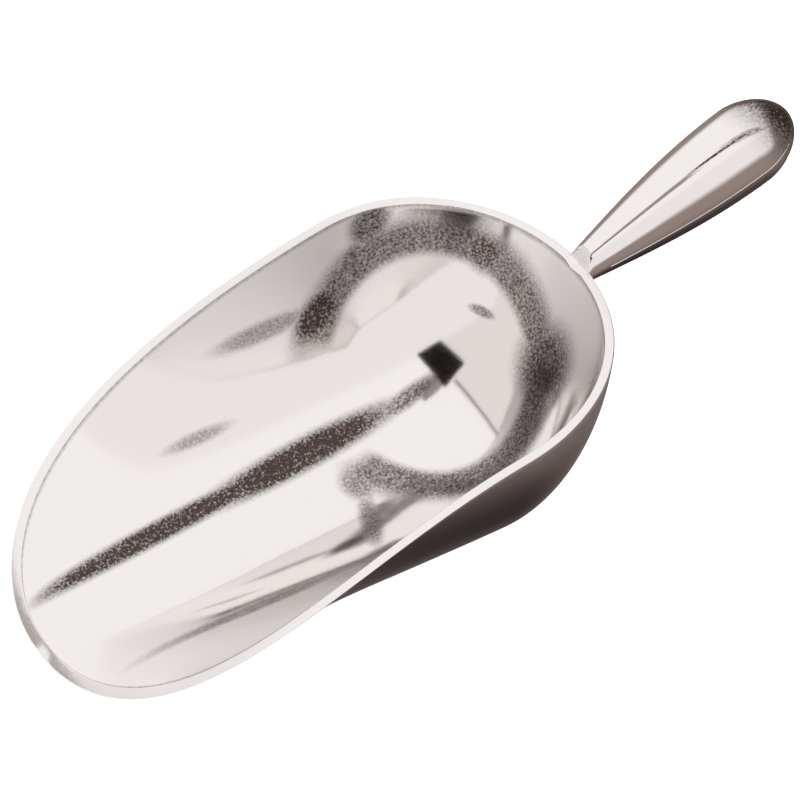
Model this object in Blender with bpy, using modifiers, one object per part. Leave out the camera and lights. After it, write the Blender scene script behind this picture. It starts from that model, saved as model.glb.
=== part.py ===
"""Ice scoop: a cast aluminium bowl, a hollow handle in two halves and the screw that joins them.

Run with: blender --background --python part.py
Units are metres. +X runs along the scoop towards the handle, +Y to one side, +Z up.
The origin is on the resting flat under the trough, where the trough meets the dome.
"""

from math import acos, cos, pi, radians, sin, sqrt, tan

import bmesh
import bpy
from mathutils import Matrix, Vector

# Bowl: overall sizes of its outer skin
TROUGH_LENGTH = 0.1605  # lip to the section where the dome starts
DOME_LENGTH = 0.068  # that section to the back of the rim
DOME_HALF_WIDTH = 0.0715  # half the width where the dome starts
LIP_HALF_WIDTH = 0.0885  # half the width that the flaring sides would have at the lip
BOWL_DEPTH = 0.078  # trough bottom to the level back of the rim
SECTION_EXPONENT = 2.1  # 2 is an ellipse; more fills out the section's corners
KEEL_ROUNDING = 0.65  # share by which the trough's bottom is narrower than its sides, at the lip
BACK_WALL_SWEEP = radians(75)  # arc of the dome's back wall; 90 degrees would end upright

# Bowl: walls, rim and resting flat
RIM_WALL = 0.0038  # thickness of the sides and the back
FLOOR_WALL = 0.0026  # thickness of the trough's bottom, and so of the lip
RIM_FALL_START = 0.040  # X where the level rim begins to fall towards the lip
RIM_FALL_EXPONENT = 1.9
REST_FLAT_DEPTH = 0.0002  # metal ground off the rounded bottom, which leaves a narrow flat

# Neck: the short stub on the bowl that the handle butts against
NECK_HEIGHT_BELOW_RIM = 0.002  # handle axis under the rim's level, at the back of the bowl
NECK_RADIUS = 0.0062
NECK_LENGTH = 0.008
NECK_ROOT_SHARE = 0.7  # share of the rim wall that the stub's root reaches into

# Handle: a pear-shaped hollow shell on a rising axis
HANDLE_TILT = radians(20)
HANDLE_LENGTH = 0.094  # along its axis, from the back of the bowl to the butt
BELLY_RADIUS = 0.0156
BELLY_STATION = 0.787  # share of the length at which the handle is thickest
BUTT_EXPONENT = 1.74  # fullness of the rounded butt
HANDLE_WALL = 0.0022
FRONT_WEB = 0.0040  # solid end of the handle, which the screw head pulls on

# Screw that draws the handle against the neck
SCREW_RADIUS = 0.0030
SCREW_HEAD_RADIUS = 0.0050
SCREW_HEAD_LENGTH = 0.0034
SCREW_HEAD_CHAMFER = 0.0006
NECK_HOLE_BOTTOM = 0.0010  # hole's blind end, along the handle axis

GAP = 0.0003  # between pieces that touch

# How finely each shape is divided
TROUGH_STATIONS = 20
DOME_STATIONS = 14
WALL_LEVELS = 16
TURN_STEPS = 40
BODY_POINTS = 14
BUTT_POINTS = 9
NECK_POINTS = 8
RIM_SEARCH_STEPS = 8  # rounds that find where a line up the dome's wall meets the rim
WELD = 0.000001  # points closer than this are one point
TURN_WELD = 0.00001
CREASE = radians(32)  # sharper edges than this are shaded as edges
FAR = 0.05  # how far cutters reach past what they cut

ALUMINIUM = (0.80, 0.79, 0.78, 1.0)
STEEL = (0.55, 0.55, 0.56, 1.0)


# ---- shared helpers ----

def clear_scene():
    for old in list(bpy.data.objects):
        bpy.data.objects.remove(old, do_unlink=True)


def new_collection(name):
    collection = bpy.data.collections.new(name)
    bpy.context.scene.collection.children.link(collection)
    return collection


def metal(name, colour, roughness):
    material = bpy.data.materials.new(name)
    material.use_nodes = True
    shader = material.node_tree.nodes["Principled BSDF"]
    shader.inputs["Base Color"].default_value = colour
    shader.inputs["Metallic"].default_value = 1.0
    shader.inputs["Roughness"].default_value = roughness
    return material


def add_object(name, mesh, collection, material=None, matrix=None):
    obj = bpy.data.objects.new(name, mesh)
    collection.objects.link(obj)
    if material:
        mesh.materials.append(material)
    if matrix:
        obj.matrix_world = matrix
    return obj


def as_cutter(obj):
    obj.hide_render = True
    obj.display_type = "WIRE"
    return obj


def boolean(obj, operation, operand):
    modifier = obj.modifiers.new(f"{operation.lower()} {operand.name}", "BOOLEAN")
    modifier.operation = operation
    modifier.object = operand
    modifier.solver = "EXACT"


def shade_smooth(mesh):
    mesh.shade_smooth()
    mesh.set_sharp_from_angle(angle=CREASE)


def turned(name, profile, collection, matrix, material=None):
    """A solid of revolution about local Z, from (radius, height) points that start and end on the axis."""
    mesh = bpy.data.meshes.new(name)
    points = [(radius, 0.0, height) for radius, height in profile]
    mesh.from_pydata(points, [(i, i + 1) for i in range(len(points) - 1)], [])
    obj = add_object(name, mesh, collection, material, matrix)
    screw = obj.modifiers.new("turn", "SCREW")
    screw.steps = TURN_STEPS
    screw.render_steps = TURN_STEPS
    screw.use_merge_vertices = True
    screw.merge_threshold = TURN_WELD
    screw.use_smooth_shade = True
    return obj


def side_outline_cutter(name, outline, half_width, collection):
    """A prism across the scoop, from (x, z) points in its side view."""
    curve = bpy.data.curves.new(name, "CURVE")
    curve.dimensions = "2D"
    curve.fill_mode = "BOTH"
    curve.extrude = half_width
    spline = curve.splines.new("POLY")
    spline.points.add(len(outline) - 1)
    for point, (x, z) in zip(spline.points, outline):
        point.co = (x, z, 0.0, 1.0)
    spline.use_cyclic_u = True
    drawn = bpy.data.objects.new(name + "_outline", curve)
    collection.objects.link(drawn)
    drawn.matrix_world = Matrix.Rotation(pi / 2, 4, "X")
    graph = bpy.context.evaluated_depsgraph_get()
    mesh = bpy.data.meshes.new_from_object(drawn.evaluated_get(graph))
    prism = bmesh.new()
    prism.from_mesh(mesh)
    bmesh.ops.remove_doubles(prism, verts=prism.verts, dist=WELD)
    bmesh.ops.recalc_face_normals(prism, faces=prism.faces)
    prism.to_mesh(mesh)
    prism.free()
    cutter = as_cutter(add_object(name, mesh, collection, matrix=drawn.matrix_world.copy()))
    bpy.data.objects.remove(drawn, do_unlink=True)
    return cutter


def block(name, low, high, collection, matrix=None):
    """A box cutter between two corners, in the space of the given matrix."""
    low, high = Vector(low), Vector(high)
    shape = bmesh.new()
    place = Matrix.Translation((low + high) / 2) @ Matrix.Diagonal((*(high - low), 1.0))
    bmesh.ops.create_cube(shape, size=1.0, matrix=place)
    mesh = bpy.data.meshes.new(name)
    shape.to_mesh(mesh)
    shape.free()
    return as_cutter(add_object(name, mesh, collection, matrix=matrix))


# ---- bowl ----

def half_width(x):
    """Half the outer width of the full-depth section at x. It flares towards the lip."""
    along = min(max(-x / TROUGH_LENGTH, 0.0), 1.0)
    return DOME_HALF_WIDTH + (LIP_HALF_WIDTH - DOME_HALF_WIDTH) * along**2


def rim_height(x):
    """Height of the ground rim: level round the back, then falling ever faster to the lip."""
    fall = max(RIM_FALL_START - x, 0.0) / (RIM_FALL_START + TROUGH_LENGTH)
    return BOWL_DEPTH * (1 - min(fall, 1.0) ** RIM_FALL_EXPONENT)


def lip_x(floor):
    """X where the falling rim meets a floor at this height."""
    fall = (1 - floor / BOWL_DEPTH) ** (1 / RIM_FALL_EXPONENT)
    return RIM_FALL_START - fall * (RIM_FALL_START + TROUGH_LENGTH)


class Skin:
    """The outer or the inner surface of the bowl."""

    def __init__(self, inset, floor):
        self.inset = inset
        self.floor = floor
        self.depth = BOWL_DEPTH - floor
        self.lip = lip_x(floor)

    def turn_at(self, z):
        """Angle round the section, from its bottom, at height z."""
        rest = min(max(1 - (z - self.floor) / self.depth, 0.0), 1.0)
        return acos(rest ** (SECTION_EXPONENT / 2))

    def back_reach(self, z):
        """How far the dome's back wall stands from the section where the dome starts."""
        share = min(max((z - self.floor) / self.depth, 0.0), 1.0)
        cosine = 1 - share * (1 - cos(BACK_WALL_SWEEP))
        return (DOME_LENGTH - self.inset) * sqrt(max(1 - cosine**2, 0.0)) / sin(BACK_WALL_SWEEP)

    def section(self, turn):
        """(share of the half width, height) at an angle round the section."""
        power = 2 / SECTION_EXPONENT
        height = self.floor + self.depth * (1 - max(cos(turn), 0.0) ** power)
        return sin(turn) ** power, height

    def trough_point(self, along, level):
        """along runs from 0 at the lip to 1 at the dome, level from 0 at the bottom to 1 at the rim."""
        x = self.lip * cos(along * pi / 2)
        top = rim_height(x)
        share, z = self.section(self.turn_at(top) * level)
        above = min((z - self.floor) / max(top - self.floor, WELD), 1.0)
        keel = 1 - KEEL_ROUNDING * min(max(x / self.lip, 0.0), 1.0) ** 2 * (1 - above)
        return Vector((x, (half_width(x) - self.inset) * share * keel, z))

    def dome_point(self, bearing, level):
        """bearing runs from 0 at the side to 90 degrees at the back."""
        top = BOWL_DEPTH
        for _ in range(RIM_SEARCH_STEPS):
            top = rim_height(self.back_reach(top) * sin(bearing))
        share, z = self.section(self.turn_at(top) * level)
        y = (DOME_HALF_WIDTH - self.inset) * share * cos(bearing)
        return Vector((self.back_reach(z) * sin(bearing), y, z))

    def point(self, station, level):
        """station counts from the lip, round one side, to the back of the dome."""
        if station <= TROUGH_STATIONS:
            return self.trough_point(station / TROUGH_STATIONS, level)
        return self.dome_point((station - TROUGH_STATIONS) / DOME_STATIONS * pi / 2, level)


def bowl_shell():
    """One grid wrapped over both skins: up the outside, across the rim and down the inside."""
    outer, inner = Skin(0.0, 0.0), Skin(RIM_WALL, FLOOR_WALL)
    half = TROUGH_STATIONS + DOME_STATIONS
    columns, rows = 2 * half, 2 * WALL_LEVELS + 1
    shell = bmesh.new()
    bmesh.ops.create_grid(shell, x_segments=columns, y_segments=rows, size=1.0)
    for vertex in shell.verts:
        column = round((vertex.co.x + 1) / 2 * columns)
        row = round((vertex.co.y + 1) / 2 * rows)
        station = half - abs(column - half)
        skin, level = (outer, row) if row <= WALL_LEVELS else (inner, rows - row)
        place = skin.point(station, level / WALL_LEVELS)
        if column > half:
            place.y = -place.y
        vertex.co = place - Vector((0.0, 0.0, REST_FLAT_DEPTH))
    bmesh.ops.remove_doubles(shell, verts=shell.verts, dist=WELD)
    bmesh.ops.dissolve_degenerate(shell, edges=shell.edges, dist=WELD)
    bmesh.ops.triangulate(shell, faces=shell.faces)
    bmesh.ops.recalc_face_normals(shell, faces=shell.faces)
    mesh = bpy.data.meshes.new("bowl")
    shell.to_mesh(mesh)
    shell.free()
    return mesh


# ---- handle ----

def handle_radius(s):
    """Outer radius of the neck and the handle at a distance s along the axis from the bowl."""
    belly = BELLY_STATION * HANDLE_LENGTH
    if s <= belly:
        return NECK_RADIUS + (BELLY_RADIUS - NECK_RADIUS) * sin(max(s, 0.0) / belly * pi / 2)
    past = min((s - belly) / (HANDLE_LENGTH - belly), 1.0)
    return BELLY_RADIUS * sqrt(max(1 - past**BUTT_EXPONENT, 0.0))


def handle_frame():
    """Local Z along the handle from the back of the bowl, local X downwards, local Y across."""
    top = BOWL_DEPTH - REST_FLAT_DEPTH
    root = Matrix.Translation((DOME_LENGTH, 0.0, top - NECK_HEIGHT_BELOW_RIM))
    return root @ Matrix.Rotation(pi / 2 - HANDLE_TILT, 4, "Y")


def outer_profile(start):
    """Points from the butt to the front of the handle."""
    belly = BELLY_STATION * HANDLE_LENGTH
    butt = [belly + (HANDLE_LENGTH - belly) * sin(i / BUTT_POINTS * pi / 2) for i in range(BUTT_POINTS, 0, -1)]
    body = [start + (belly - start) * i / BODY_POINTS for i in range(BODY_POINTS, -1, -1)]
    return [(handle_radius(s), s) for s in butt + body]


def inner_profile(start):
    """Points inside the hollow, from its front to the butt: the outer shape shrunk towards the belly."""
    belly = BELLY_STATION * HANDLE_LENGTH
    end = HANDLE_LENGTH - HANDLE_WALL
    body = [start + (belly - start) * i / BODY_POINTS for i in range(BODY_POINTS)]
    hollow = [(handle_radius(s) - HANDLE_WALL, s) for s in body]
    for i in range(BUTT_POINTS + 1):
        past = sin(i / BUTT_POINTS * pi / 2)
        radius = (BELLY_RADIUS - HANDLE_WALL) * sqrt(max(1 - past**BUTT_EXPONENT, 0.0))
        hollow.append((radius, belly + (end - belly) * past))
    return hollow


def handle_shell_profile():
    front = NECK_LENGTH + GAP
    web_back = front + FRONT_WEB
    hole = SCREW_RADIUS + GAP
    return outer_profile(front) + [(hole, front), (hole, web_back)] + inner_profile(web_back)


def make_handle_half(name, side, parts, cutters, material):
    """side is -1 for the upper half and 1 for the lower one, along the handle frame's X."""
    frame = handle_frame()
    half = turned(name, handle_shell_profile(), parts, frame, material)
    reach = BELLY_RADIUS + FAR
    kept_from = side * GAP / 2
    low, high = sorted((kept_from, -side * reach))
    away = block(
        f"{name}_other_side",
        (low, -reach, -FAR),
        (high, reach, HANDLE_LENGTH + FAR),
        cutters,
        frame,
    )
    boolean(half, "DIFFERENCE", away)
    return half


def make_screw(parts, material):
    """A short headed screw. Its head lies in the handle and its end in the neck's blind hole."""
    head_from = NECK_LENGTH + GAP + FRONT_WEB + GAP
    head_to = head_from + SCREW_HEAD_LENGTH
    profile = [
        (0.0, head_to),
        (SCREW_HEAD_RADIUS - SCREW_HEAD_CHAMFER, head_to),
        (SCREW_HEAD_RADIUS, head_to - SCREW_HEAD_CHAMFER),
        (SCREW_HEAD_RADIUS, head_from),
        (SCREW_RADIUS, head_from),
        (SCREW_RADIUS, NECK_HOLE_BOTTOM + GAP),
        (0.0, NECK_HOLE_BOTTOM + GAP),
    ]
    return turned("handle_screw", profile, parts, handle_frame(), material)


# ---- bowl with its neck ----

def neck_stub(cutters):
    """The turned stub, trimmed so that it grows out of the back wall and slopes down onto the rim."""
    start = -2 * RIM_WALL - NECK_RADIUS * tan(HANDLE_TILT)
    stations = [start + (NECK_LENGTH - start) * i / NECK_POINTS for i in range(NECK_POINTS, -1, -1)]
    profile = [(0.0, NECK_LENGTH)] + [(handle_radius(s), s) for s in stations] + [(0.0, start)]
    stub = as_cutter(turned("neck_stub", profile, cutters, handle_frame()))
    root_x = DOME_LENGTH - NECK_ROOT_SHARE * RIM_WALL
    rim = BOWL_DEPTH - REST_FLAT_DEPTH
    outline = [
        (root_x, rim - FAR),
        (root_x, rim),
        (root_x + FAR, rim + FAR),
        (root_x - FAR, rim + FAR),
        (root_x - FAR, rim - FAR),
    ]
    trim = side_outline_cutter("neck_trim", outline, NECK_RADIUS + FAR, cutters)
    boolean(stub, "DIFFERENCE", trim)
    return stub


def make_bowl(parts, cutters, material):
    bowl = add_object("bowl", bowl_shell(), parts, material)
    side = LIP_HALF_WIDTH + FAR
    under = block(
        "resting_flat",
        (-TROUGH_LENGTH - FAR, -side, -FAR),
        (DOME_LENGTH + FAR, side, 0.0),
        cutters,
    )
    boolean(bowl, "DIFFERENCE", under)
    boolean(bowl, "UNION", neck_stub(cutters))
    hole = SCREW_RADIUS + GAP
    profile = [
        (0.0, NECK_LENGTH + FAR),
        (hole, NECK_LENGTH + FAR),
        (hole, NECK_HOLE_BOTTOM),
        (0.0, NECK_HOLE_BOTTOM),
    ]
    boolean(bowl, "DIFFERENCE", as_cutter(turned("neck_hole", profile, cutters, handle_frame())))
    shade_smooth(bowl.data)
    return bowl


def main():
    clear_scene()
    parts = new_collection("ice_scoop")
    cutters = new_collection("cutters")
    make_bowl(parts, cutters, metal("bowl_polished_cast_aluminium", ALUMINIUM, 0.16))
    make_handle_half(
        "handle_upper_half", -1, parts, cutters, metal("upper_half_polished_aluminium", ALUMINIUM, 0.12)
    )
    make_handle_half(
        "handle_lower_half", 1, parts, cutters, metal("lower_half_polished_aluminium", ALUMINIUM, 0.18)
    )
    make_screw(parts, metal("screw_stainless_steel", STEEL, 0.35))
    bpy.context.view_layer.update()


main()
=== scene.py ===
"""Ice scoop: the finished look of a polished cast aluminium scoop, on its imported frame."""

from math import acos, cos, pi, radians, sin, sqrt

import bmesh
import bpy
from mathutils import Matrix, Vector, noise


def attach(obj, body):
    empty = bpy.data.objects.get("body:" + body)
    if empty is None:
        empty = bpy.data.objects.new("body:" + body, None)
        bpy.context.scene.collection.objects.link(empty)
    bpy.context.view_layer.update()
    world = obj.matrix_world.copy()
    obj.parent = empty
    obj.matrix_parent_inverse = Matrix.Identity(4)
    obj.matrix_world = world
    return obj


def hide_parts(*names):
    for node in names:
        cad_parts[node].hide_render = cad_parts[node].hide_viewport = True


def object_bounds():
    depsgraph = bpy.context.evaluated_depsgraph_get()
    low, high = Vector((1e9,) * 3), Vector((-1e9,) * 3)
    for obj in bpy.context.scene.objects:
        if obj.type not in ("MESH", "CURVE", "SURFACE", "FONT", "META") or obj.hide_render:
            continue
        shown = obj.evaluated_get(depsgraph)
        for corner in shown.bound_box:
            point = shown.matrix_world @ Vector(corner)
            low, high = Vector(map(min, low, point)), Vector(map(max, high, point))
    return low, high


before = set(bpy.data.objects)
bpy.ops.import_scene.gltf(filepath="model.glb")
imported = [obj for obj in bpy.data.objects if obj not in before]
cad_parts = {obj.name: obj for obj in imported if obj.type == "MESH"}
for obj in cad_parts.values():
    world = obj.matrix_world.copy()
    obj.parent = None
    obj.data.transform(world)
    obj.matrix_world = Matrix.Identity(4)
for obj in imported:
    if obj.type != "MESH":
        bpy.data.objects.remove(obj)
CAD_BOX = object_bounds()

bl_info = {
    "name": "Ice Scoop",
    "version": (1, 0, 0),
    "blender": (4, 5, 0),
    "location": "View3D > Sidebar > Ice Scoop",
    "description": "Builds a polished cast aluminium ice scoop and its studio",
    "category": "Object",
}

MM = 0.001


# ---- colours ----

def linear(hex_colour):
    """An sRGB hex colour as linear red, green and blue."""
    channels = [int(hex_colour[i:i + 2], 16) / 255 for i in (1, 3, 5)]
    return [c / 12.92 if c <= 0.04045 else ((c + 0.055) / 1.055) ** 2.4 for c in channels]


# ---- sizes and colours that a user would change ----

class IceScoopSizes(bpy.types.PropertyGroup):
    trough_length: bpy.props.FloatProperty(
        name="Trough length", unit="LENGTH", default=0.1605,
        description="Lip to the section where the dome starts")
    dome_length: bpy.props.FloatProperty(
        name="Dome length", unit="LENGTH", default=0.068,
        description="That section to the back of the rim")
    dome_half_width: bpy.props.FloatProperty(
        name="Half width", unit="LENGTH", default=0.0715,
        description="Half the width where the dome starts")
    lip_half_width: bpy.props.FloatProperty(
        name="Flared half width", unit="LENGTH", default=0.0885,
        description="Half the width that the sides would have at the lip")
    bowl_depth: bpy.props.FloatProperty(
        name="Bowl depth", unit="LENGTH", default=0.078,
        description="Trough bottom to the level back of the rim")
    rim_wall: bpy.props.FloatProperty(
        name="Rim wall", unit="LENGTH", default=0.0038,
        description="Thickness of the sides and the back")
    floor_wall: bpy.props.FloatProperty(
        name="Floor wall", unit="LENGTH", default=0.0026,
        description="Thickness of the trough's bottom")
    rim_edge: bpy.props.FloatProperty(
        name="Rim edge", unit="LENGTH", default=0.0006,
        description="Radius worn on the edges of the ground rim")
    casting_wave: bpy.props.FloatProperty(
        name="Casting wave", unit="LENGTH", default=0.00008, precision=5,
        description="Height of the slow waves that hand polishing leaves")
    handle_length: bpy.props.FloatProperty(
        name="Handle length", unit="LENGTH", default=0.0939,
        description="Back of the bowl to the butt, along the axis")
    handle_tilt: bpy.props.FloatProperty(
        name="Handle tilt", subtype="ANGLE", unit="ROTATION", default=radians(20),
        description="Rise of the handle's axis")
    neck_radius: bpy.props.FloatProperty(
        name="Neck radius", unit="LENGTH", default=0.0062,
        description="Radius where the handle meets the bowl")
    belly_radius: bpy.props.FloatProperty(
        name="Belly radius", unit="LENGTH", default=0.01558,
        description="Radius at the handle's thickest place")
    seam_chamfer: bpy.props.FloatProperty(
        name="Seam chamfer", unit="LENGTH", default=0.00025, precision=5,
        description="Edge broken along the seam of the two halves")


class IceScoopColours(bpy.types.PropertyGroup):
    aluminium: bpy.props.FloatVectorProperty(
        name="Aluminium", subtype="COLOR", size=3, min=0, max=1, default=linear("#F7F4F3"),
        description="Colour of the polished casting")
    # Pits colour: the painted dark reflections, stippled like film in the casting's pores.
    pits_and_painted_reflection: bpy.props.FloatVectorProperty(
        name="Pits", subtype="COLOR", size=3, min=0, max=1, default=linear("#51433F"),
        description="Colour of the dark film in the casting's pores")
    steel: bpy.props.FloatVectorProperty(
        name="Screw", subtype="COLOR", size=3, min=0, max=1, default=linear("#C6C3C0"),
        description="Colour of the stainless steel screw")
    floor: bpy.props.FloatVectorProperty(
        name="Floor", subtype="COLOR", size=3, min=0, max=1, default=linear("#FFFFFF"),
        description="Colour of the pale floor")
    studio_white: bpy.props.FloatVectorProperty(
        name="Studio white", subtype="COLOR", size=3, min=0, max=1, default=linear("#F9F7F6"),
        description="Light panels round and above the scoop")
    studio_pale: bpy.props.FloatVectorProperty(
        name="Studio pale", subtype="COLOR", size=3, min=0, max=1, default=linear("#E6E2E0"),
        description="Side panels, which are lit less")
    studio_near: bpy.props.FloatVectorProperty(
        name="Studio near", subtype="COLOR", size=3, min=0, max=1, default=linear("#F0EDEC"),
        description="Panel on the near side")
    studio_grey: bpy.props.FloatVectorProperty(
        name="Studio grey", subtype="COLOR", size=3, min=0, max=1, default=linear("#958B88"),
        description="Gap between the overhead panels, and the screen past the handle")
    studio_dark: bpy.props.FloatVectorProperty(
        name="Studio dark", subtype="COLOR", size=3, min=0, max=1, default=linear("#5A504E"),
        description="The room behind the table, lower down")
    studio_black: bpy.props.FloatVectorProperty(
        name="Studio black", subtype="COLOR", size=3, min=0, max=1, default=linear("#1C1716"),
        description="Flag that keeps light off the lens, and the room at its lowest")
    studio_below: bpy.props.FloatVectorProperty(
        name="Studio below", subtype="COLOR", size=3, min=0, max=1, default=linear("#93857F"),
        description="The room just under the table's edge")


def sizes():
    return bpy.context.scene.ice_scoop_sizes


def colours():
    return bpy.context.scene.ice_scoop_colours


# ---- materials ----

def add_node(tree, kind, links=None, **settings):
    """Adds a node. Settings named after a property set it, the rest set inputs; links join sockets."""
    node = tree.nodes.new(kind)
    for key, value in settings.items():
        if hasattr(node, key):
            setattr(node, key, value)
        else:
            node.inputs[key.replace("_", " ")].default_value = value
    for key, socket in (links or {}).items():
        tree.links.new(socket, node.inputs[key])
    return node


def empty_tree(owner):
    owner.use_nodes = True
    owner.node_tree.nodes.clear()
    return owner.node_tree


def lay_over(tree, masks):
    """One mask from several, the strongest winning at each point."""
    joined = masks[0]
    for mask in masks[1:]:
        joined = add_node(tree, "ShaderNodeMath", {0: joined, 1: mask}, operation="MAXIMUM").outputs[0]
    return joined


STREAK_CORE = 0.35  # share of a streak's radius inside which it is at full strength


def streak(tree, place, centre, radii, turn=0.0, lean=0.0, strength=1.0):
    """A mask for a long soft spot: an ellipsoid with its centre and radii in millimetres."""
    inside = add_node(
        tree, "ShaderNodeMapping", {"Vector": place}, vector_type="TEXTURE",
        Location=[v * MM for v in centre], Rotation=(0.0, radians(lean), radians(turn)),
        Scale=[v * MM for v in radii])
    reach = add_node(tree, "ShaderNodeVectorMath", {0: inside.outputs[0]}, operation="LENGTH")
    return add_node(
        tree, "ShaderNodeMapRange", {"Value": reach.outputs["Value"]}, interpolation_type="SMOOTHSTEP",
        From_Min=STREAK_CORE, From_Max=1.0, To_Min=strength, To_Max=0.0).outputs["Result"]


HOLLOW_PLANE = (-0.49, -0.475, 0.731)  # normal of the plane that the dome's dark hollow follows
HOLLOW_INNER = (-2.5 * MM, 0.5 * MM)  # where the hollow starts, measured along that normal
HOLLOW_OUTER = (4.5 * MM, 12 * MM)  # where it fades out
HOLLOW_STRENGTH = 0.8  # of the painted dark reflection in the hollow
HOLLOW_END = (-27 * MM, -18 * MM)  # X where it ends towards the trough
CLEARED_CENTRE = (-17 * MM, 37 * MM, 18 * MM)  # painted reflection taken off again, where the far side's root begins
CLEARED_RADIUS = (19 * MM, 27 * MM)
EDGE_STRENGTH = 0.5  # of the painted shade on the rim's inner edge


def dome_painted_reflection_band(tree, place):
    """Painted dark reflection in the hollow round the dome's floor: a sloping band with a sharp inner side
    and a soft outer one.
    """
    level = add_node(tree, "ShaderNodeVectorMath", {0: place}, operation="DOT_PRODUCT")
    level.inputs[1].default_value = HOLLOW_PLANE
    inner = add_node(
        tree, "ShaderNodeMapRange", {"Value": level.outputs["Value"]}, interpolation_type="SMOOTHSTEP",
        From_Min=HOLLOW_INNER[0], From_Max=HOLLOW_INNER[1])
    outer = add_node(
        tree, "ShaderNodeMapRange", {"Value": level.outputs["Value"]}, interpolation_type="SMOOTHSTEP",
        From_Min=HOLLOW_OUTER[0], From_Max=HOLLOW_OUTER[1], To_Min=HOLLOW_STRENGTH, To_Max=0.0)
    hollow = add_node(
        tree, "ShaderNodeMath", {0: inner.outputs["Result"], 1: outer.outputs["Result"]},
        operation="MULTIPLY")
    clear = add_node(tree, "ShaderNodeVectorMath", {0: place}, operation="DISTANCE")
    clear.inputs[1].default_value = CLEARED_CENTRE
    cleared = add_node(
        tree, "ShaderNodeMapRange", {"Value": clear.outputs["Value"]}, interpolation_type="SMOOTHSTEP",
        From_Min=CLEARED_RADIUS[0], From_Max=CLEARED_RADIUS[1])
    trough = add_node(tree, "ShaderNodeSeparateXYZ", {"Vector": place})
    reached = add_node(
        tree, "ShaderNodeMapRange", {"Value": trough.outputs["X"]}, interpolation_type="SMOOTHSTEP",
        From_Min=HOLLOW_END[0], From_Max=HOLLOW_END[1])
    for share in (cleared, reached):
        hollow = add_node(
            tree, "ShaderNodeMath", {0: hollow.outputs[0], 1: share.outputs["Result"]}, operation="MULTIPLY")
    return hollow.outputs[0]


def painted_reflection_places(tree, place):
    """Painted dark reflections in the bowl: the hollow, both roots and parts of the walls, and painted shade
    on the rim's inner edge.
    """
    edge = add_node(tree, "ShaderNodeAttribute", attribute_name="edge_painted_shade")
    painted_edge_shade = add_node(tree, "ShaderNodeMath", {0: edge.outputs["Fac"]}, operation="MULTIPLY")
    painted_edge_shade.inputs[1].default_value = EDGE_STRENGTH
    # Every mask below is painted dark reflection, and the rim's inner edge is painted shade.
    painted_dark = lay_over(tree, [
        dome_painted_reflection_band(tree, place),
        # painted shade on the rim's inner edge
        painted_edge_shade.outputs[0],
        # root of the far side, from the dome and tapering to the lip
        streak(tree, place, (12, 30.5, 11.5), (19, 4.5, 6), lean=-22, strength=0.8),
        streak(tree, place, (-34, 28.5, 8.5), (60, 8, 9), turn=4.6, strength=1.25),
        streak(tree, place, (-94, 24, 8), (92, 5.4, 7), turn=4.6, strength=1.15),
        # root of the near side
        streak(tree, place, (-92, -28.5, 9), (58, 5.5, 5.5), turn=0.5, strength=0.7),
        # end of the hollow, where it meets the trough
        streak(tree, place, (-21, 10, 4), (9, 11, 7), strength=0.7),
        streak(tree, place, (-27, -8, 4), (23, 5.5, 6), turn=67, strength=0.65),
        # back of the dome, from the deepest part of the hollow up to the rim
        streak(tree, place, (50, -4, 38), (14, 20, 30), strength=0.85),
        streak(tree, place, (49, 36, 62), (10, 12, 12), strength=0.95),
        streak(tree, place, (42, 48, 72), (28, 22, 10), strength=0.42),
        # far wall, from the rim down and then towards the lip
        streak(tree, place, (18, 65, 70), (10, 14, 15), lean=20, strength=0.85),
        streak(tree, place, (10, 63, 55), (14, 12, 6.5), lean=-60, strength=0.8),
        streak(tree, place, (-7, 59.5, 41), (19, 12, 9), lean=-33, strength=1.1),
        streak(tree, place, (-30, 61, 43), (28, 10, 5), strength=0.55),
        streak(tree, place, (-68, 46, 21), (20, 4, 3.5), strength=0.55),
        # a small painted dark spot on the dome's back wall
        streak(tree, place, (44.5, 30, 40), (6, 8, 2.6), strength=0.7),
    ])
    inside = add_node(tree, "ShaderNodeAttribute", attribute_name="inner_skin")
    return add_node(
        tree, "ShaderNodeMath", {0: painted_dark, 1: inside.outputs["Fac"]}, operation="MULTIPLY").outputs[0]


def satin_walls(tree, place):
    """Where the casting is left satin: the upper part of the far wall, the near wall and the back."""
    return lay_over(tree, [
        streak(tree, place, (-20, 66, 58), (84, 20, 40)),
        streak(tree, place, (-76, -50, 24), (120, 34, 38)),
        streak(tree, place, (-132, -28, 10), (38, 30, 16)),
        streak(tree, place, (60, -14, 60), (22, 44, 32)),
    ])


def painted_reflection_butt(tree, place):
    """Painted dark reflections on the rounded butt of the handle."""
    return lay_over(tree, [
        streak(tree, place, (155, 4, 109), (30, 28, 24), lean=-20, strength=1.15),
        # a fine painted reflection line along the top, frayed where it meets the butt
        streak(tree, place, (123, -6.2, 111), (20, 0.6, 14), turn=-3.7, lean=-20, strength=1.1),
        streak(tree, place, (134, -7, 114), (15, 1.6, 8), turn=-8, lean=-20, strength=0.7),
    ])


PORE_SPACING = 0.8 * MM
STIPPLE_SPACING = 1.0 * MM
WAVE_SPACING = 9 * MM
WAVE_TO_PIT = 4  # height of the slow waves, in depths of a pit
POLISHED_ROUGHNESS = 0.08
SHEEN_SPREAD = 0.4  # share by which the grain changes that roughness, either way
STIPPLE_RANGE = (0.33, 0.62)  # of the noise, from the lightest painted stipple to the darkest
STIPPLE_DEPTH = (0.5, 1.2)
PAINTED_DARK_ROUGHNESS = 0.15  # added where the painted dark reflection is strongest
SATIN_ROUGHNESS = 0.35  # added where the casting is left satin


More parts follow.
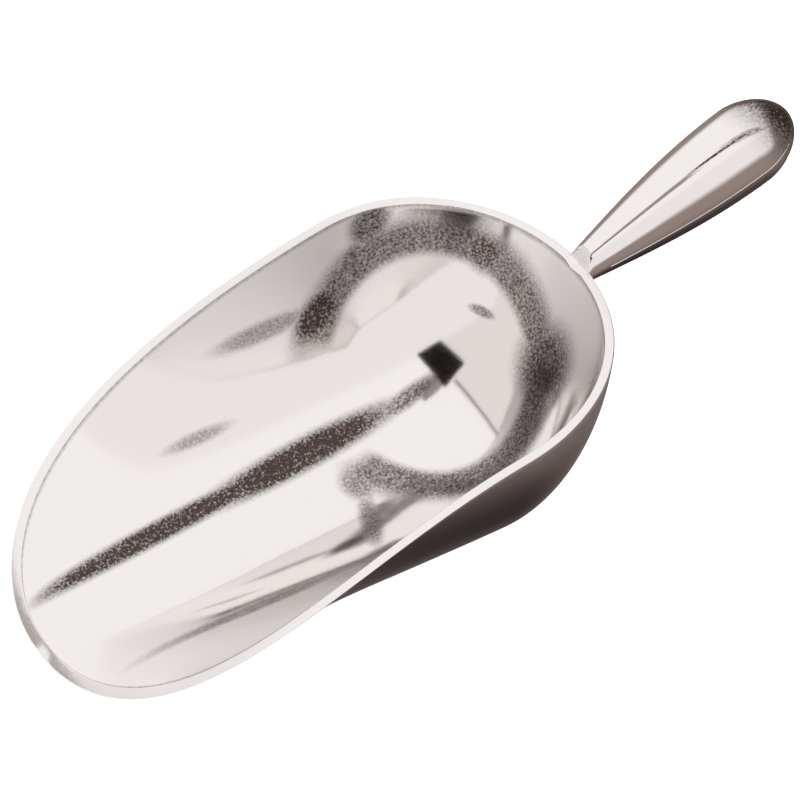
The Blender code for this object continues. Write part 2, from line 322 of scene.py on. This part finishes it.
def polished_cast_aluminium(name, pit_depth, painted_reflection_zones, satin=None):
    """Sand-cast aluminium, tumbled and buffed by hand: a bright mirror, broken up a little by open pores.

    Where a mask asks for it, painted dark reflections darken the colour as a dark and light stipple, like
    film in open pores.
    """
    material = bpy.data.materials.new(name)
    tree = empty_tree(material)
    place = add_node(tree, "ShaderNodeTexCoord").outputs["Object"]
    # Pores are 0.1 to 0.4 mm across in the metal. They are drawn coarser, so that they show.
    grain = add_node(
        tree, "ShaderNodeTexNoise", {"Vector": place}, Scale=1 / PORE_SPACING, Detail=2.0, Roughness=0.55)
    # Slow waves ride under the grain.
    waves = add_node(tree, "ShaderNodeTexNoise", {"Vector": place}, Scale=1 / WAVE_SPACING, Detail=2.0)
    wave_bump = add_node(
        tree, "ShaderNodeBump", {"Height": waves.outputs["Fac"]}, Strength=1.0,
        Distance=pit_depth * WAVE_TO_PIT)
    grain_bump = add_node(
        tree, "ShaderNodeBump", {"Height": grain.outputs["Fac"], "Normal": wave_bump.outputs["Normal"]},
        Strength=1.0, Distance=pit_depth)
    sheen = add_node(
        tree, "ShaderNodeMapRange", {"Value": grain.outputs["Fac"]},
        To_Min=POLISHED_ROUGHNESS * (1 - SHEEN_SPREAD), To_Max=POLISHED_ROUGHNESS * (1 + SHEEN_SPREAD))
    # Painted dark reflection lies as a stipple: deep in some pores and thin over others. It is drawn coarser
    # too.
    stipple = add_node(
        tree, "ShaderNodeTexNoise", {"Vector": place}, Scale=1 / STIPPLE_SPACING, Detail=3.0, Roughness=0.65)
    depth = add_node(
        tree, "ShaderNodeMapRange", {"Value": stipple.outputs["Fac"]},
        From_Min=STIPPLE_RANGE[0], From_Max=STIPPLE_RANGE[1],
        To_Min=STIPPLE_DEPTH[0], To_Max=STIPPLE_DEPTH[1])
    # zone: where dark reflections are painted into the colour.
    zone = painted_reflection_zones(tree, place)
    painted_dark = add_node(
        tree, "ShaderNodeMath", {0: zone, 1: depth.outputs["Result"]}, operation="MULTIPLY", use_clamp=True)
    tone = add_node(tree, "ShaderNodeMix", {"Factor": painted_dark.outputs[0]}, data_type="RGBA")
    tone.inputs[6].default_value = (*colours().aluminium, 1.0)
    tone.inputs[7].default_value = (*colours().pits_and_painted_reflection, 1.0)
    rough = add_node(tree, "ShaderNodeMath", {0: zone, 2: sheen.outputs["Result"]}, operation="MULTIPLY_ADD")
    rough.inputs[1].default_value = PAINTED_DARK_ROUGHNESS
    if satin:
        rough = add_node(
            tree, "ShaderNodeMath", {0: satin(tree, place), 2: rough.outputs[0]}, operation="MULTIPLY_ADD")
        rough.inputs[1].default_value = SATIN_ROUGHNESS
    shader = add_node(
        tree, "ShaderNodeBsdfPrincipled",
        {
            "Base Color": tone.outputs[2], "Roughness": rough.outputs[0],
            "Normal": grain_bump.outputs["Normal"]},
        Metallic=1.0)
    add_node(tree, "ShaderNodeOutputMaterial", {"Surface": shader.outputs["BSDF"]})
    return material


TURNING_SCALE = 0.6 * MM  # gives marks 0.19 mm apart
TURNING_DEPTH = 0.02 * MM
STEEL_ROUGHNESS = (0.28, 0.42)


def turned_stainless_steel():
    """Stainless steel from a lathe: fine parallel tool marks, a duller and darker grey than the casting."""
    material = bpy.data.materials.new("turned_stainless_steel")
    tree = empty_tree(material)
    place = add_node(tree, "ShaderNodeTexCoord").outputs["Object"]
    # Tool marks are 0.1 mm apart. They are drawn about twice as coarse.
    turning = add_node(
        tree, "ShaderNodeTexWave", {"Vector": place}, Scale=1 / TURNING_SCALE, Distortion=0.5, Detail=2.0)
    marks = add_node(
        tree, "ShaderNodeBump", {"Height": turning.outputs["Fac"]}, Strength=0.3, Distance=TURNING_DEPTH)
    sheen = add_node(
        tree, "ShaderNodeMapRange", {"Value": turning.outputs["Fac"]},
        To_Min=STEEL_ROUGHNESS[0], To_Max=STEEL_ROUGHNESS[1])
    shader = add_node(
        tree, "ShaderNodeBsdfPrincipled",
        {"Roughness": sheen.outputs["Result"], "Normal": marks.outputs["Normal"]},
        Base_Color=(*colours().steel, 1.0), Metallic=1.0)
    add_node(tree, "ShaderNodeOutputMaterial", {"Surface": shader.outputs["BSDF"]})
    return material


# ---- shared helpers ----

def add_piece(name, mesh, material, slot, *nodes):
    """A finished piece: it rides on the root body and stands for its CAD nodes."""
    piece = bpy.data.objects.new(name, mesh)
    bpy.context.scene.collection.objects.link(piece)
    mesh.materials.append(material)
    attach(piece, "root")
    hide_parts(*nodes)
    return piece


def shade_smooth(mesh, crease=radians(40)):
    mesh.shade_smooth()
    mesh.set_sharp_from_angle(angle=crease)


# ---- bowl ----

SECTION_EXPONENT = 2.1  # 2 is an ellipse; more fills out the section's corners
BACK_WALL_SWEEP = radians(75)
RIM_FALL_START = 0.040
RIM_FALL_EXPONENT = 1.9
REST_FLAT_DEPTH = 0.0002
RIM_SEARCH_STEPS = 8  # rounds that find where a line up the dome's wall meets the rim
WELD = 0.000001  # points closer than this are one point
KEEL_ROUNDING = 0.65  # how much rounder the trough's bottom is than its sides, at the lip

RIM_EDGE_SHARE = 0.3  # most of the wall's width that each worn edge may take
WAVE_WIDTH = 22 * MM  # of the slow waves in the casting
WAVE_OFFSET = 0.8  # keeps the waves inside the metal

TROUGH_STATIONS = 110
DOME_STATIONS = 80
WALL_LEVELS = 70
BELOW_RIM = 0.98  # level from which the wall's slope at the rim is read
TOP_ROW_DROP = 0.9  # distance from the rim to the wall's top row, in radii of the rim's edge
EDGE_STEPS = 4


def half_width(x):
    """Half the width that the section reaches at full depth, flaring towards the lip."""
    along = min(max(-x / sizes().trough_length, 0.0), 1.0)
    return sizes().dome_half_width + (sizes().lip_half_width - sizes().dome_half_width) * along**2


def rim_height(x):
    """Height of the ground rim: level round the back, then falling ever faster to the lip."""
    fall = max(RIM_FALL_START - x, 0.0) / (RIM_FALL_START + sizes().trough_length)
    return sizes().bowl_depth * (1 - min(fall, 1.0) ** RIM_FALL_EXPONENT)


def lip_x(floor):
    """X where the rim's line has come down to the floor."""
    fall = (1 - floor / sizes().bowl_depth) ** (1 / RIM_FALL_EXPONENT)
    return RIM_FALL_START - fall * (RIM_FALL_START + sizes().trough_length)


class Skin:
    """The outer or the inner surface of the bowl. Each section is a superellipse, cut off at the rim."""

    def __init__(self, inset, floor):
        self.inset = inset
        self.floor = floor
        self.depth = sizes().bowl_depth - floor
        self.lip = lip_x(floor)

    def turn_at(self, z):
        """How far round its section the surface has got at a height."""
        rest = min(max(1 - (z - self.floor) / self.depth, 0.0), 1.0)
        return acos(rest ** (SECTION_EXPONENT / 2))

    def back_reach(self, z):
        """X of the dome's back wall at a height."""
        share = min(max((z - self.floor) / self.depth, 0.0), 1.0)
        cosine = 1 - share * (1 - cos(BACK_WALL_SWEEP))
        return (sizes().dome_length - self.inset) * sqrt(max(1 - cosine**2, 0.0)) / sin(BACK_WALL_SWEEP)

    def section(self, turn):
        """Share of the half width, and the height, at a turn round the section."""
        power = 2 / SECTION_EXPONENT
        height = self.floor + self.depth * (1 - max(cos(turn), 0.0) ** power)
        return sin(turn) ** power, height

    def trough_point(self, along, level):
        x = self.lip * cos(along * pi / 2)
        top = rim_height(x)
        share, z = self.section(self.turn_at(top) * level)
        above = min((z - self.floor) / max(top - self.floor, WELD), 1.0)
        keel = 1 - KEEL_ROUNDING * min(max(x / self.lip, 0.0), 1.0) ** 2 * (1 - above)
        return Vector((x, (half_width(x) - self.inset) * share * keel, z))

    def dome_point(self, bearing, level):
        top = sizes().bowl_depth
        for _ in range(RIM_SEARCH_STEPS):
            top = rim_height(self.back_reach(top) * sin(bearing))
        share, z = self.section(self.turn_at(top) * level)
        y = (sizes().dome_half_width - self.inset) * share * cos(bearing)
        return Vector((self.back_reach(z) * sin(bearing), y, z))

    def point(self, station, level):
        """station counts from the lip, round one side, to the back of the dome."""
        if station <= TROUGH_STATIONS:
            return self.trough_point(station / TROUGH_STATIONS, level)
        return self.dome_point((station - TROUGH_STATIONS) / DOME_STATIONS * pi / 2, level)


def rim_rows(outer, inner, station):
    """Points over the wall's top: up the outside edge, across the ground band and down the inside edge."""
    radius = sizes().rim_edge
    out_top, in_top = outer.point(station, 1.0), inner.point(station, 1.0)
    out_low, in_low = outer.point(station, BELOW_RIM), inner.point(station, BELOW_RIM)
    across = in_top - out_top
    reach = min(radius, across.length * RIM_EDGE_SHARE)
    across.normalize()
    down_out = (out_low - out_top).normalized() * reach
    down_in = (in_low - in_top).normalized() * reach
    rows = []
    for i in range(EDGE_STEPS + 1):
        turn = i / EDGE_STEPS * pi / 2
        rows.append(out_top + down_out * (1 - sin(turn)) + across * reach * (1 - cos(turn)))
    for i in range(EDGE_STEPS + 1):
        turn = i / EDGE_STEPS * pi / 2
        rows.append(in_top + down_in * (1 - cos(turn)) - across * reach * (1 - sin(turn)))
    return rows


def bowl_mesh():
    """One shell: up the outside, over the rim and down the inside.

    Two layers mark the rim's inner edge, for its painted shade, and the inner skin for the material.
    """
    outer, inner = Skin(0.0, 0.0), Skin(sizes().rim_wall, sizes().floor_wall)
    half = TROUGH_STATIONS + DOME_STATIONS
    top_level = 1 - TOP_ROW_DROP * sizes().rim_edge / sizes().bowl_depth
    shell = bmesh.new()
    edge_painted_shade = shell.verts.layers.float.new("edge_painted_shade")
    inner_skin = shell.verts.layers.float.new("inner_skin")
    columns = []
    for column in range(2 * half + 1):
        station = half - abs(column - half)
        side = -1.0 if column > half else 1.0
        levels = [i / WALL_LEVELS * top_level for i in range(WALL_LEVELS)]
        points = [outer.point(station, level) for level in levels]
        points += rim_rows(outer, inner, station)
        points += [inner.point(station, level) for level in reversed(levels)]
        row = []
        inner_edge = len(levels) + 2 * EDGE_STEPS + 1
        for i, point in enumerate(points):
            vertex = shell.verts.new((point.x, side * point.y, point.z - REST_FLAT_DEPTH))
            # The rim's inner edge rows get painted shade in the material.
            vertex[edge_painted_shade] = 1.0 if i in (inner_edge - 1, inner_edge) else 0.0
            vertex[inner_skin] = 1.0 if i >= inner_edge - 1 else 0.0
            row.append(vertex)
        columns.append(row)
    for left, right in zip(columns, columns[1:]):
        for i in range(len(left) - 1):
            shell.faces.new((left[i], left[i + 1], right[i + 1], right[i]))
    bmesh.ops.remove_doubles(shell, verts=shell.verts, dist=2 * WELD)
    bmesh.ops.dissolve_degenerate(shell, edges=shell.edges, dist=WELD)
    bmesh.ops.recalc_face_normals(shell, faces=shell.faces)
    shell.normal_update()
    wave = sizes().casting_wave
    moved = []
    for vertex in shell.verts:
        place = vertex.co / WAVE_WIDTH
        moved.append(vertex.normal * wave * (noise.noise(place) - WAVE_OFFSET))
    for vertex, move in zip(shell.verts, moved):
        vertex.co += move
        vertex.co.x = max(vertex.co.x, CAD_BOX[0][0])
        vertex.co.z = max(vertex.co.z, 0.0)
    mesh = bpy.data.meshes.new("bowl_polished")
    shell.to_mesh(mesh)
    shell.free()
    shade_smooth(mesh)
    return mesh


class ICESCOOP_OT_bowl(bpy.types.Operator):
    """Build the cast bowl with its ground rim and the neck that carries the handle"""

    bl_idname = "ice_scoop.bowl"
    bl_label = "Bowl"

    def execute(self, context):
        bowl = add_piece(
            "bowl_polished", bowl_mesh(),
            polished_cast_aluminium("tumbled_cast_aluminium_painted_reflections", 0.006 * MM, painted_reflection_places, satin_walls),
            "bowl_aluminium", "bowl")
        neck = bpy.data.objects.new("bowl_neck", neck_mesh())
        context.scene.collection.objects.link(neck)
        neck.data.materials.append(bowl.data.materials[0])
        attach(neck, "root")
        return {"FINISHED"}


# ---- handle ----

NECK_HEIGHT_BELOW_RIM = 0.002
NECK_LENGTH = 0.008
BELLY_STATION = 0.787
BUTT_EXPONENT = 1.74
JOINT_GAP = 0.000002  # half the gap between the neck and the handle's halves, too thin to see
NECK_SLOPE_START = 0.0668  # X where the neck's top begins to rise from the rim
NECK_SLOPE = 2.2
NECK_ROOT_SHARE = 0.75  # share of the wall that the neck's root reaches into
SEAM_LIFT = 0.00008  # from the middle plane to each half's face
CHAMFER_SHARE = 0.3  # most of the radius that the seam's chamfer may take
CHAMFER_RUN = 1.2  # width of the chamfer across the seam's face, over its width round the side
BUTT_STOP = 0.00001  # keeps the last ring off the axis
NECK_CREASE = radians(60)
SEAM_CREASE = radians(28)
NECK_POINTS = 14
BODY_POINTS = 60
BUTT_POINTS = 26
TURN_STEPS = 64


def handle_frame():
    """Local Z along the handle from the back of the bowl, local X downwards, local Y across."""
    top = sizes().bowl_depth - REST_FLAT_DEPTH
    root = Matrix.Translation((sizes().dome_length, 0.0, top - NECK_HEIGHT_BELOW_RIM))
    return root @ Matrix.Rotation(pi / 2 - sizes().handle_tilt, 4, "Y")


def handle_radius(s):
    """Radius at a distance along the handle: it grows to the belly and is then rounded off to the butt."""
    belly = BELLY_STATION * sizes().handle_length
    neck, widest = sizes().neck_radius, sizes().belly_radius
    if s <= belly:
        return neck + (widest - neck) * sin(max(s, 0.0) / belly * pi / 2)
    past = min((s - belly) / (sizes().handle_length - belly), 1.0)
    return widest * sqrt(max(1 - past**BUTT_EXPONENT, 0.0))


def neck_mesh():
    """The turned stub, from inside the back wall to the joint with the handle."""
    start, end = -NECK_ROOT_SHARE * sizes().rim_wall, NECK_LENGTH - JOINT_GAP
    stub = bmesh.new()
    rings = []
    for i in range(NECK_POINTS + 1):
        s = start + (end - start) * i / NECK_POINTS
        radius = handle_radius(s)
        ring = []
        for k in range(TURN_STEPS):
            turn = k / TURN_STEPS * 2 * pi
            ring.append(stub.verts.new((radius * cos(turn), radius * sin(turn), s)))
        rings.append(ring)
    for low, high in zip(rings, rings[1:]):
        for k in range(TURN_STEPS):
            n = (k + 1) % TURN_STEPS
            stub.faces.new((low[k], low[n], high[n], high[k]))
    stub.faces.new(list(reversed(rings[0])))
    stub.faces.new(rings[-1])
    stub.transform(handle_frame())
    rim = sizes().bowl_depth - REST_FLAT_DEPTH
    for vertex in stub.verts:
        vertex.co.z = min(vertex.co.z, rim + NECK_SLOPE * max(vertex.co.x - NECK_SLOPE_START, 0.0))
    mesh = bpy.data.meshes.new("bowl_neck")
    stub.to_mesh(mesh)
    stub.free()
    shade_smooth(mesh, NECK_CREASE)
    return mesh


def handle_half_mesh(name, side):
    """side is -1 for the upper half and 1 for the lower one. A solid half with its seam edge broken."""
    end = sizes().handle_length
    belly = BELLY_STATION * end
    start = NECK_LENGTH + JOINT_GAP
    stations = [start + (belly - start) * i / BODY_POINTS for i in range(BODY_POINTS)]
    stations += [belly + (end - belly) * sin(i / BUTT_POINTS * pi / 2) for i in range(BUTT_POINTS)]
    stations.append(end - BUTT_STOP)
    half = bmesh.new()
    rings = []
    for s in stations:
        radius = handle_radius(s)
        cut = min(sizes().seam_chamfer, radius * CHAMFER_SHARE)
        ring = [(SEAM_LIFT, radius - cut * CHAMFER_RUN)]
        steps = TURN_STEPS // 2
        first = cut / max(radius, WELD)
        for k in range(steps + 1):
            turn = first + (pi - 2 * first) * k / steps
            ring.append((radius * sin(turn), radius * cos(turn)))
        ring.append((SEAM_LIFT, -radius + cut * CHAMFER_RUN))
        rings.append([half.verts.new((side * x, y, s)) for x, y in ring])
    for low, high in zip(rings, rings[1:]):
        for k in range(len(low)):
            n = (k + 1) % len(low)
            half.faces.new((low[k], low[n], high[n], high[k]))
    half.faces.new(list(reversed(rings[0])))
    half.faces.new(rings[-1])
    bmesh.ops.recalc_face_normals(half, faces=half.faces)
    mesh = bpy.data.meshes.new(name)
    half.to_mesh(mesh)
    half.free()
    mesh.transform(handle_frame())
    shade_smooth(mesh, SEAM_CREASE)
    return mesh


class ICESCOOP_OT_handle(bpy.types.Operator):
    """Build the two halves of the hollow handle, with the seam between them"""

    bl_idname = "ice_scoop.handle"
    bl_label = "Handle"

    def execute(self, context):
        material = polished_cast_aluminium("buffed_cast_aluminium_painted_reflections", 0.004 * MM, painted_reflection_butt)
        for name, side, node in (("upper", -1, "handle_upper_half"), ("lower", 1, "handle_lower_half")):
            mesh = handle_half_mesh(f"handle_{name}_polished", side)
            add_piece(f"handle_{name}_polished", mesh, material, "handle_aluminium", node)
        return {"FINISHED"}


class ICESCOOP_OT_screw(bpy.types.Operator):
    """Give the screw in the handle its turned steel finish"""

    bl_idname = "ice_scoop.screw"
    bl_label = "Screw"

    def execute(self, context):
        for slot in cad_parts["handle_screw"].material_slots:
            slot.material = turned_stainless_steel()
        return {"FINISHED"}


# ---- stage ----

CAMERA_AZIMUTH = radians(-32.036)
CAMERA_ELEVATION = radians(45.541)
CAMERA_DISTANCE = 3.25
CAMERA_LENS = 405.4
CAMERA_TARGET = Vector((0.0, 0.0, 0.039))  # then moved across the view and up it
TARGET_RIGHT = -7.9 * MM
TARGET_UP = 3.43 * MM
FLOOR_REACH = 30.0
FLOOR_DROP = 0.0004  # under the resting flat
FLOOR_GLOW = 0.8


def between(tree, value, low, high, soft):
    """A mask that is 1 between two angles and fades over a third one outside them."""
    rise = add_node(
        tree, "ShaderNodeMapRange", {"Value": value}, interpolation_type="SMOOTHSTEP",
        From_Min=radians(low - soft), From_Max=radians(low))
    fall = add_node(
        tree, "ShaderNodeMapRange", {"Value": value}, interpolation_type="SMOOTHSTEP",
        From_Min=radians(high), From_Max=radians(high + soft), To_Min=1.0, To_Max=0.0)
    return add_node(
        tree, "ShaderNodeMath", {0: rise.outputs["Result"], 1: fall.outputs["Result"]}, operation="MULTIPLY"
    ).outputs[0]


def patch(tree, across, along, across_span, along_span):
    """A mask for a patch of the tent. A span is its two angles and the one that it fades over."""
    wide = between(tree, across, *across_span)
    long = between(tree, along, *along_span)
    return add_node(tree, "ShaderNodeMath", {0: wide, 1: long}, operation="MULTIPLY").outputs[0]


def tent_layers(tree, across, along):
    """Masks and colours for what shows in the white tent, each one over those before it."""
    c = colours()
    return [
        # The side panels are a little greyer than the overhead ones.
        (between(tree, along, -180, -47, 1.5), c.studio_pale),
        (between(tree, across, -180, -42, 8), c.studio_near),
        # A joint between two panels crosses the scoop.
        (patch(tree, across, along, (-2, 60, 2), (-49.2, -48.2, 0.7)), c.studio_grey),
        # A gap runs along the scoop, a little to the near side.
        (patch(tree, across, along, (-18, -9, 2.5), (-46, -24, 4)), c.studio_grey),
        # The flag hangs over the lip's side, beside the lens.
        (patch(tree, across, along, (-38, -7, 2.5), (-58, -42, 2.5)), c.studio_black),
    ]


SCREEN_SPAN = (0.55, 0.74)  # X of a direction where the screen begins, and where it is full
EDGE_SPAN = (-0.75, -0.15)  # X of a direction, from past the lip to the sides
EDGE_HEIGHT = (-60, 8)  # where the panels end over that span, in degrees above the table
FAR_SPAN = (0.6, 0.9)  # Y of a direction where the far side's panels end higher
FAR_RISE = 4
# The room darkens in three steps: degrees from the panels' lower edge where each is full and where it begins.
BELOW_SPAN = (-13, 6)
DARK_SPAN = (-76, -33)
BLACK_SPAN = (-88, -52)


def room_layers(tree, x, y, height):
    """Masks and colours for the room round the tent, each one over those before it."""
    c = colours()
    screen = add_node(
        tree, "ShaderNodeMapRange", {"Value": x}, interpolation_type="SMOOTHSTEP",
        From_Min=SCREEN_SPAN[0], From_Max=SCREEN_SPAN[1])
    # A grey screen stands past the handle's end.
    layers = [(screen.outputs["Result"], c.studio_grey)]
    # The panels end above the table's edge at the sides, and below it past the lip.
    side_edge = add_node(
        tree, "ShaderNodeMapRange", {"Value": x}, interpolation_type="SMOOTHSTEP",
        From_Min=EDGE_SPAN[0], From_Max=EDGE_SPAN[1],
        To_Min=radians(EDGE_HEIGHT[0]), To_Max=radians(EDGE_HEIGHT[1]))
    far_edge = add_node(
        tree, "ShaderNodeMapRange", {"Value": y}, interpolation_type="SMOOTHSTEP",
        From_Min=FAR_SPAN[0], From_Max=FAR_SPAN[1], To_Max=radians(FAR_RISE))
    edge = add_node(
        tree, "ShaderNodeMath", {0: side_edge.outputs["Result"], 1: far_edge.outputs["Result"]},
        operation="ADD")
    lifted = add_node(tree, "ShaderNodeMath", {0: height, 1: edge.outputs[0]}, operation="SUBTRACT")
    spans = ((BELOW_SPAN, c.studio_below), (DARK_SPAN, c.studio_dark), (BLACK_SPAN, c.studio_black))
    for (full, begins), colour in spans:
        below = add_node(
            tree, "ShaderNodeMapRange", {"Value": lifted.outputs[0]}, interpolation_type="SMOOTHSTEP",
            From_Min=radians(full), From_Max=radians(begins), To_Min=1.0, To_Max=0.0)
        layers.append((below.outputs["Result"], colour))
    return layers


def studio_world():
    """White panels on every side with a gap overhead, a flag beside the lens, and a dark room below.

    Directions are in degrees from straight up: across towards +Y, along towards the handle.
    """
    world = bpy.data.worlds.new("studio_tent")
    tree = empty_tree(world)
    direction = add_node(tree, "ShaderNodeTexCoord").outputs["Generated"]
    split = add_node(tree, "ShaderNodeSeparateXYZ", {"Vector": direction})
    x, y, z = split.outputs
    across = add_node(tree, "ShaderNodeMath", {0: y, 1: z}, operation="ARCTAN2").outputs[0]
    along = add_node(tree, "ShaderNodeMath", {0: x, 1: z}, operation="ARCTAN2").outputs[0]
    height = add_node(tree, "ShaderNodeMath", {0: z}, operation="ARCSINE").outputs[0]
    white = add_node(tree, "ShaderNodeRGB")
    white.outputs[0].default_value = (*colours().studio_white, 1.0)
    seen = white.outputs[0]
    for mask, colour in tent_layers(tree, across, along) + room_layers(tree, x, y, height):
        mix = add_node(tree, "ShaderNodeMix", {"Factor": mask, 6: seen}, data_type="RGBA")
        mix.inputs[7].default_value = (*colour, 1.0)
        seen = mix.outputs[2]
    background = add_node(tree, "ShaderNodeBackground", {"Color": seen}, Strength=1.0)
    add_node(tree, "ShaderNodeOutputWorld", {"Surface": background.outputs["Background"]})
    bpy.context.scene.world = world


def add_floor():
    """A pale sheet over a light table. It glows a little, so that the scoop throws hardly any shadow."""
    mesh = bpy.data.meshes.new("floor")
    sheet = bmesh.new()
    bmesh.ops.create_grid(sheet, x_segments=4, y_segments=4, size=FLOOR_REACH)
    sheet.to_mesh(mesh)
    sheet.free()
    floor = bpy.data.objects.new("floor", mesh)
    bpy.context.scene.collection.objects.link(floor)
    floor.location.z = -FLOOR_DROP
    material = bpy.data.materials.new("frosted_acrylic_sheet")
    tree = empty_tree(material)
    shader = add_node(
        tree, "ShaderNodeBsdfPrincipled", Base_Color=(*colours().floor, 1.0), Roughness=0.9,
        Emission_Color=(*colours().floor, 1.0), Emission_Strength=FLOOR_GLOW)
    add_node(tree, "ShaderNodeOutputMaterial", {"Surface": shader.outputs["BSDF"]})
    mesh.materials.append(material)
    floor.visible_glossy = False


def add_camera():
    """A long lens, looking down at the scoop from the near side of its lip."""
    back = Vector((
        sin(CAMERA_AZIMUTH) * cos(CAMERA_ELEVATION), -cos(CAMERA_AZIMUTH) * cos(CAMERA_ELEVATION),
        sin(CAMERA_ELEVATION)))
    right = Vector((cos(CAMERA_AZIMUTH), sin(CAMERA_AZIMUTH), 0.0))
    up = back.cross(right)
    target = CAMERA_TARGET + TARGET_RIGHT * right + TARGET_UP * up
    data = bpy.data.cameras.new("camera")
    data.sensor_width = 36.0
    data.lens = CAMERA_LENS
    data.clip_end = 100.0
    camera = bpy.data.objects.new("camera", data)
    bpy.context.scene.collection.objects.link(camera)
    camera.location = target + back * CAMERA_DISTANCE
    camera.rotation_mode = "QUATERNION"
    camera.rotation_quaternion = Matrix((right, up, back)).transposed().to_quaternion()
    bpy.context.scene.camera = camera


class ICESCOOP_OT_stage(bpy.types.Operator):
    """Set up the pale floor, the studio's light and the camera"""

    bl_idname = "ice_scoop.stage"
    bl_label = "Stage"

    def execute(self, context):
        studio_world()
        add_floor()
        add_camera()
        context.scene.view_settings.view_transform = "Standard"
        return {"FINISHED"}


# ---- add-on ----

class ICESCOOP_PT_panel(bpy.types.Panel):
    """Sizes, colours and the buttons that build the scoop"""

    bl_idname = "ICESCOOP_PT_panel"
    bl_label = "Ice Scoop"
    bl_space_type = "VIEW_3D"
    bl_region_type = "UI"
    bl_category = "Ice Scoop"

    def draw(self, context):
        for group in (sizes(), colours()):
            box = self.layout.box()
            for name in type(group).__annotations__:
                box.prop(group, name)
        for operator in OPERATORS:
            self.layout.operator(operator.bl_idname)


OPERATORS = (ICESCOOP_OT_bowl, ICESCOOP_OT_handle, ICESCOOP_OT_screw, ICESCOOP_OT_stage)
CLASSES = (IceScoopSizes, IceScoopColours, *OPERATORS, ICESCOOP_PT_panel)


def register():
    for each in CLASSES:
        bpy.utils.register_class(each)
    bpy.types.Scene.ice_scoop_sizes = bpy.props.PointerProperty(type=IceScoopSizes)
    bpy.types.Scene.ice_scoop_colours = bpy.props.PointerProperty(type=IceScoopColours)


def unregister():
    del bpy.types.Scene.ice_scoop_sizes
    del bpy.types.Scene.ice_scoop_colours
    for each in reversed(CLASSES):
        bpy.utils.unregister_class(each)


def main():
    register()
    bpy.ops.ice_scoop.bowl()
    bpy.ops.ice_scoop.handle()
    bpy.ops.ice_scoop.screw()
    bpy.ops.ice_scoop.stage()


if __name__ == "__main__":
    main()
